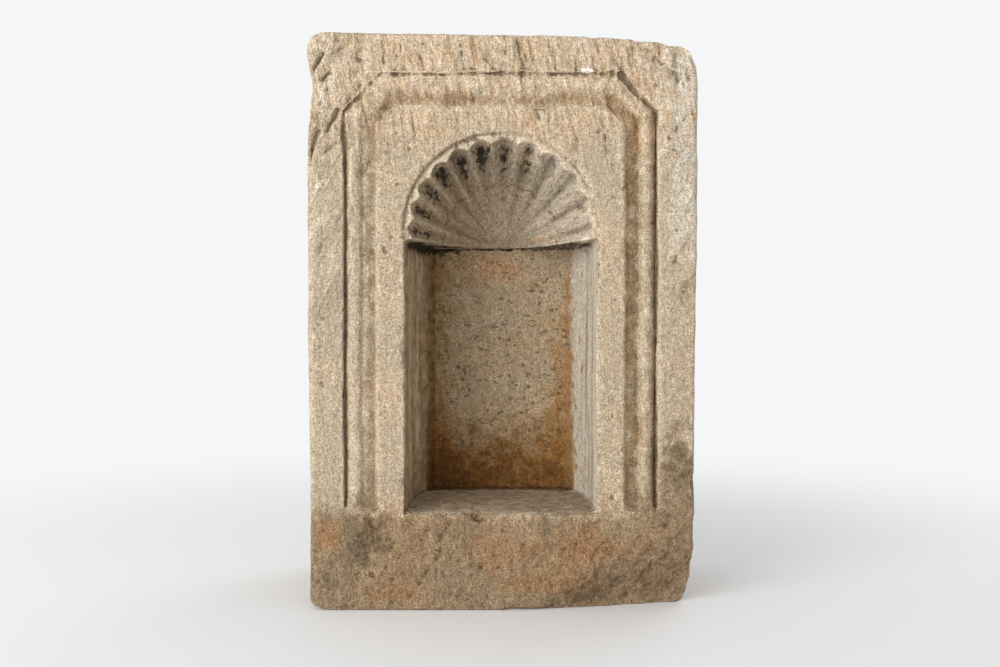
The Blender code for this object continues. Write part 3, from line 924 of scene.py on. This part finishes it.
stoneTones = {
    "sand": (0.470, 0.368, 0.252, 1),
    "sandWarm": (0.540, 0.400, 0.262, 1),
    "sandCool": (0.445, 0.360, 0.250, 1),
    "paleGrain": (0.720, 0.610, 0.460, 1),
    "grimeAndShade": (0.120, 0.083, 0.048, 1),
    "growthAndShadow": (0.014, 0.012, 0.010, 1),
    "rust": (0.370, 0.178, 0.046, 1),
    "shade": (0.110, 0.080, 0.050, 1),
    "chill": (0.610, 0.560, 0.465, 1),
    "ochre": (0.560, 0.340, 0.190, 1),
    "earthAndShade": (0.600, 0.540, 0.465, 1),
    "umber": (0.800, 0.700, 0.500, 1),
    "lime": (0.940, 0.890, 0.820, 1),
    "cream": (0.710, 0.615, 0.480, 1),
}


stoneFinish = {"roughness": 0.93, "specular": 0.22}


def stoneMaterial():
    material = bpy.data.materials.new("weatheredSandstone")
    material.use_nodes = True
    tree = material.node_tree
    link = tree.links.new
    shader = tree.nodes["Principled BSDF"]
    shader.inputs["Roughness"].default_value = stoneFinish["roughness"]
    shader.inputs["Specular IOR Level"].default_value = stoneFinish["specular"]
    coords = tree.nodes.new("ShaderNodeTexCoord")

    def drawnOut(lean, lengths, tip=0):
        # coordinates that draw a pattern out along leaning lines
        made = tree.nodes.new("ShaderNodeMapping")
        made.vector_type = "TEXTURE"
        made.inputs["Rotation"].default_value = (math.radians(tip), math.radians(lean), 0)
        made.inputs["Scale"].default_value = lengths
        link(coords.outputs["Object"], made.inputs["Vector"])
        return made.outputs["Vector"]

    def noise(scale, detail, roughness=0.6, distortion=0.0, along=None):
        made = tree.nodes.new("ShaderNodeTexNoise")
        made.inputs["Scale"].default_value = scale
        made.inputs["Detail"].default_value = detail
        made.inputs["Roughness"].default_value = roughness
        made.inputs["Distortion"].default_value = distortion
        link(along or coords.outputs["Object"], made.inputs["Vector"])
        return made.outputs["Fac"]

    def mask(name):
        made = tree.nodes.new("ShaderNodeAttribute")
        made.attribute_name = name
        return made.outputs["Fac"]

    def choice(factor, first, second):
        made = tree.nodes.new("ShaderNodeMix")
        link(factor, made.inputs[0])
        link(first, made.inputs[2])
        link(second, made.inputs[3])
        return made.outputs[0]

    def between(value, low, high, to=1.0):
        made = tree.nodes.new("ShaderNodeMapRange")
        made.interpolation_type = "SMOOTHSTEP"
        made.inputs["From Min"].default_value = low
        made.inputs["From Max"].default_value = high
        made.inputs["To Max"].default_value = to
        link(value, made.inputs["Value"])
        return made.outputs["Result"]

    def sums(kind, first, second):
        made = tree.nodes.new("ShaderNodeMath")
        made.operation = kind
        for socket, value in zip(made.inputs, (first, second)):
            if isinstance(value, (int, float)):
                socket.default_value = value
            else:
                link(value, socket)
        return made.outputs["Value"]

    def over(colour, tone, factor, blend="MIX"):
        made = tree.nodes.new("ShaderNodeMix")
        made.data_type = "RGBA"
        made.blend_type = blend
        for socket, value in ((made.inputs[6], colour), (made.inputs[7], tone)):
            if isinstance(value, str):
                socket.default_value = stoneTones[value]
            else:
                link(value, socket)
        if isinstance(factor, (int, float)):
            made.inputs[0].default_value = factor
        else:
            link(factor, made.inputs[0])
        return made.outputs[2]

    def scaled(value, gain, lift):
        made = sums("MULTIPLY_ADD", value, gain)
        made.node.inputs[2].default_value = lift
        return made

    def broken(name, texture, spread, low, high, to=1.0):
        # a painted mask with its edge broken up by a texture
        return between(sums("ADD", mask(name), scaled(texture, spread, -0.5 * spread)), low, high, to)

    def shown(name, texture, low, high, to=1.0):
        # a texture that shows only where its mask is painted
        return sums("MULTIPLY", mask(name), between(texture, low, high, to))

    def fanNoise(turns, outwards, *settings):
        # a pattern laid out along the shell's flutes
        place = tree.nodes.new("ShaderNodeCombineXYZ")
        link(sums("MULTIPLY", mask("fan"), turns), place.inputs["X"])
        link(sums("MULTIPLY", mask("share"), outwards), place.inputs["Y"])
        return noise(*settings, place.outputs["Vector"])

    grain = noise(430, 3.0, 0.65)
    grit = noise(900, 1.0)
    clots = noise(270, 3.0, 0.6, 0.0, drawnOut(-9, (1, 1, 2.2)))
    mottle = noise(70, 4.0, 0.6, 0.4)
    clouds = noise(16, 4.0, 0.55, 0.6)
    strokes = noise(140, 2.6, 0.5, 0.7, drawnOut(-9, (1, 1, 5.5)))       # of the chisel
    streaks = noise(75, 4.0, 0.6, 0.4, drawnOut(0, (1, 1, 12)))          # down the jambs
    dressing = noise(70, 3.0, 0.6, 0.4, drawnOut(38, (1, 1, 4.5), 32))   # on the plain sides
    beds = noise(85, 4.0, 0.6, 0.5, drawnOut(27, (1, 1, 5)))             # the stone's own bedding
    pits = noise(210, 2.0, 0.55, 0.0, drawnOut(0, (1.5, 1, 1)))
    fanStreaks = fanNoise(2.6, 3.0, 1.0, 4.0, 0.65, 0.6)
    cracks = fanNoise(2.6, 3.0, 1.9, 5.0, 0.6, 1.5)
    fanClumps = fanNoise(3.4, 15.0, 1.0, 6.0, 0.75, 0.8)
    clumps = choice(mask("onShell"), noise(150, 5.0, 0.75), fanClumps)

    # fine cracks in the shell, and the wavy line across its flutes
    nearLine = sums("ABSOLUTE", sums("SUBTRACT", cracks, 0.5), 0.0)
    waves = sums("MULTIPLY", sums("SINE", sums("MULTIPLY", mask("fan"), 2 * math.pi), 0.0), 0.016)
    wavyShare = sums("ADD", sums("ADD", mask("share"), waves), sums("MULTIPLY", fanStreaks, 0.10))
    nearWave = sums("ABSOLUTE", sums("SUBTRACT", wavyShare, 0.75), 0.0)
    waveShown = sums("MULTIPLY", between(nearWave, 0.014, 0.0, 0.9), between(fanStreaks, 0.62, 0.42))
    crackLines = sums("ADD", between(nearLine, 0.036, 0.0, 0.9), waveShown)
    crackLines = sums("MULTIPLY", mask("onShell"), crackLines)

    hue = sums("ADD", mask("warm"), scaled(clouds, 2.2, -1.1))
    pitBeds = shown("pitted", pits, 0.63, 0.71)
    tones = [
        ("sand", between(hue, 0.1, 0.5)),
        ("sandWarm", between(hue, 0.45, 1.0)),
        ("cream", broken("cream", mottle, 2.0, 0.35, 1.1, 0.75)),
        ("chill", broken("chill", mottle, 2.0, 0.25, 1.0, 0.85)),
        ("cream", shown("tooled", strokes, 0.54, 0.70, 0.55)),
        ("rust", shown("tooled", strokes, 0.48, 0.30, 0.42)),
        ("cream", shown("streaked", streaks, 0.50, 0.64, 0.80)),
        ("shade", shown("streaked", streaks, 0.50, 0.34, 0.50)),
        ("grimeAndShade", shown("onShell", fanStreaks, 0.50, 0.30, 0.38)),
        ("cream", shown("onShell", fanStreaks, 0.54, 0.72, 0.45)),
        ("shade", shown("grained", beds, 0.50, 0.34, 0.50)),
        ("cream", shown("grained", beds, 0.52, 0.68, 0.55)),
        ("shade", shown("dressed", dressing, 0.50, 0.32, 0.45)),
        ("cream", shown("dressed", dressing, 0.54, 0.70, 0.35)),
        ("ochre", broken("ochre", mottle, 1.2, 0.20, 1.05, 0.82)),
        ("rust", broken("rust", mottle, 1.0, 0.28, 1.25, 0.8)),
        ("shade", broken("shade", mottle, 1.8, 0.20, 1.25, 0.60)),
        # dirt and painted shade in the hollows, holes and cut lines
        ("grimeAndShade", broken("grimeAndShade", clots, 1.2, 0.30, 1.2, 0.72)),
        # paler rubbed rises, with painted highlight on the shell's ridges
        ("paleGrain", broken("wearAndHighlight", clots, 1.0, 0.35, 1.3, 0.25)),
    ]
    darkenings = [
        # the darker base, flat and lower wall, with painted shade on the right bead's outer side
        ("earthAndShade", broken("earthAndShade", mottle, 1.8, 0.10, 0.95)),
        ("umber", broken("umber", mottle, 1.2, 0.0, 1.0)),
        (scaled(between(grain, 0.30, 0.70), 0.54, 0.73), 1.0),
        (scaled(between(clots, 0.25, 0.75), 0.34, 0.83), 1.0),
        (scaled(between(grit, 0.70, 0.30), 0.80, 0.60), scaled(mask("onShell"), -0.40, 0.80)),
    ]
    lastTones = [
        ("grimeAndShade", sums("MULTIPLY", pitBeds, 0.60)),
        ("grimeAndShade", sums("MULTIPLY", crackLines, 0.85)),
        ("lime", broken("lime", clots, 1.2, 0.45, 0.80, 0.9)),
        # black growth, and painted shadow under the shell's lip
        ("growthAndShadow", broken("growthAndShadow", clumps, 2.8, 0.30, 0.70, 0.95)),
    ]
    colour = "sandCool"
    for tone, share in tones:
        colour = over(colour, tone, share)
    for tone, share in darkenings:
        colour = over(colour, tone, share, "MULTIPLY")
    for tone, share in lastTones:
        colour = over(colour, tone, share)
    link(colour, shader.inputs["Base Color"])

    def bump(height, distance, strength, under=None):
        made = tree.nodes.new("ShaderNodeBump")
        made.inputs["Strength"].default_value = strength
        made.inputs["Distance"].default_value = distance
        link(height, made.inputs["Height"])
        if under:
            link(under, made.inputs["Normal"])
        return made.outputs["Normal"]

    heights = [
        (grain, 0.0010, 0.85),
        (clots, 0.0014, 0.70),
        (sums("MULTIPLY", mask("tooled"), strokes), 0.0050, 0.95),
        (sums("MULTIPLY", mask("onShell"), fanStreaks), 0.0025, 0.80),
        (sums("MULTIPLY", mask("earthAndShade"), mottle), 0.0060, 0.80),
        (sums("MULTIPLY", mask("grained"), beds), 0.0050, 0.90),
        (sums("MULTIPLY", mask("dressed"), dressing), 0.0090, 0.90),
        (sums("SUBTRACT", 1.0, pitBeds), 0.0012, 0.90),
    ]
    normal = None
    for height, distance, strength in heights:
        normal = bump(height, distance, strength, normal)
    link(normal, shader.inputs["Normal"])
    return material


studio = {
    "focal": 36.0,
    "cameraPlace": (-0.0025, -1.1363, 0.3083),
    "cameraDip": math.atan(0.0185),
    "airStrength": 0.60,                   # what lights the stone
    "airShown": 0.93,                      # what is seen behind it
    "keyPlace": (-1.75, -1.95, 0.80),
    "keySize": 2.0,
    "keyPower": 56.5,
    "airTone": (0.98, 0.99, 1.0, 1),
    "airShownTone": (0.985, 0.99, 1.0, 1),
    "fillPlace": (1.6, 1.7, 1.6),
    "fillPower": 12.0,
    "floorTone": (0.965, 0.968, 0.97, 1),
    "floorFade": (0.25, 1.35),             # how far out the floor melts into the background
}


def aimed(place, target):
    return (Vector(target) - Vector(place)).to_track_quat("-Z", "Y").to_euler()


def floorMaterial():
    # pale plaster, which melts into the background further out
    plaster = bpy.data.materials.new("palePlaster")
    plaster.use_nodes = True
    tree = plaster.node_tree
    near = tree.nodes["Principled BSDF"]
    near.inputs["Base Color"].default_value = studio["floorTone"]
    near.inputs["Roughness"].default_value = 0.9
    near.inputs["Specular IOR Level"].default_value = 0.2
    far = tree.nodes.new("ShaderNodeEmission")
    far.inputs["Color"].default_value = studio["airShownTone"]
    far.inputs["Strength"].default_value = studio["airShown"]
    coords = tree.nodes.new("ShaderNodeTexCoord")
    distance = tree.nodes.new("ShaderNodeVectorMath")
    distance.operation = "LENGTH"
    fade = tree.nodes.new("ShaderNodeMapRange")
    fade.interpolation_type = "SMOOTHERSTEP"
    fade.inputs["From Min"].default_value = studio["floorFade"][0]
    fade.inputs["From Max"].default_value = studio["floorFade"][1]
    choice = tree.nodes.new("ShaderNodeMixShader")
    tree.links.new(coords.outputs["Object"], distance.inputs[0])
    tree.links.new(distance.outputs["Value"], fade.inputs["Value"])
    tree.links.new(fade.outputs["Result"], choice.inputs["Fac"])
    tree.links.new(near.outputs["BSDF"], choice.inputs[1])
    tree.links.new(far.outputs["Emission"], choice.inputs[2])
    tree.links.new(choice.outputs["Shader"], tree.nodes["Material Output"].inputs["Surface"])
    return plaster


def setCamera():
    cameraData = bpy.data.cameras.new("camera")
    cameraData.sensor_width = 36.0
    cameraData.lens = studio["focal"]
    camera = bpy.data.objects.new("camera", cameraData)
    camera.location = studio["cameraPlace"]
    camera.rotation_euler = (math.radians(90) - studio["cameraDip"], 0, 0)
    bpy.context.scene.collection.objects.link(camera)
    bpy.context.scene.camera = camera


def setAir():
    world = bpy.data.worlds.new("studioAir")
    world.use_nodes = True
    tree = world.node_tree
    air = tree.nodes["Background"]
    air.inputs["Color"].default_value = studio["airTone"]
    air.inputs["Strength"].default_value = studio["airStrength"]
    shown = tree.nodes.new("ShaderNodeBackground")
    shown.inputs["Color"].default_value = studio["airShownTone"]
    shown.inputs["Strength"].default_value = studio["airShown"]
    path = tree.nodes.new("ShaderNodeLightPath")
    choice = tree.nodes.new("ShaderNodeMixShader")
    tree.links.new(path.outputs["Is Camera Ray"], choice.inputs["Fac"])
    tree.links.new(air.outputs["Background"], choice.inputs[1])
    tree.links.new(shown.outputs["Background"], choice.inputs[2])
    tree.links.new(choice.outputs["Shader"], tree.nodes["World Output"].inputs["Surface"])
    bpy.context.scene.world = world


def setLights():
    for name, place, power in (("key", "keyPlace", "keyPower"), ("fill", "fillPlace", "fillPower")):
        lightData = bpy.data.lights.new(name, "AREA")
        lightData.shape = "DISK"
        lightData.size = studio["keySize"]
        lightData.energy = studio[power]
        light = bpy.data.objects.new(name, lightData)
        light.location = studio[place]
        light.rotation_euler = aimed(studio[place], (0, 0, 0.3))
        bpy.context.scene.collection.objects.link(light)
    bpy.context.scene.view_settings.view_transform = "Standard"


def setFloor():
    work = bmesh.new()
    bmesh.ops.create_grid(work, x_segments=4, y_segments=4, size=8.0)
    mesh = bpy.data.meshes.new("paleFloor")
    work.to_mesh(mesh)
    work.free()
    floor = bpy.data.objects.new("paleFloor", mesh)
    bpy.context.scene.collection.objects.link(floor)
    mesh.materials.append(floorMaterial())


setCamera()
setAir()
setLights()
setFloor()
carved = startSkin()
workSkin(carved)
thinSkin(carved)
paintMasks(carved)
carved.data.materials.clear()
carved.data.materials.append(stoneMaterial())
carved.data.shade_smooth()
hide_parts("niche_block")
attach(carved, "root")
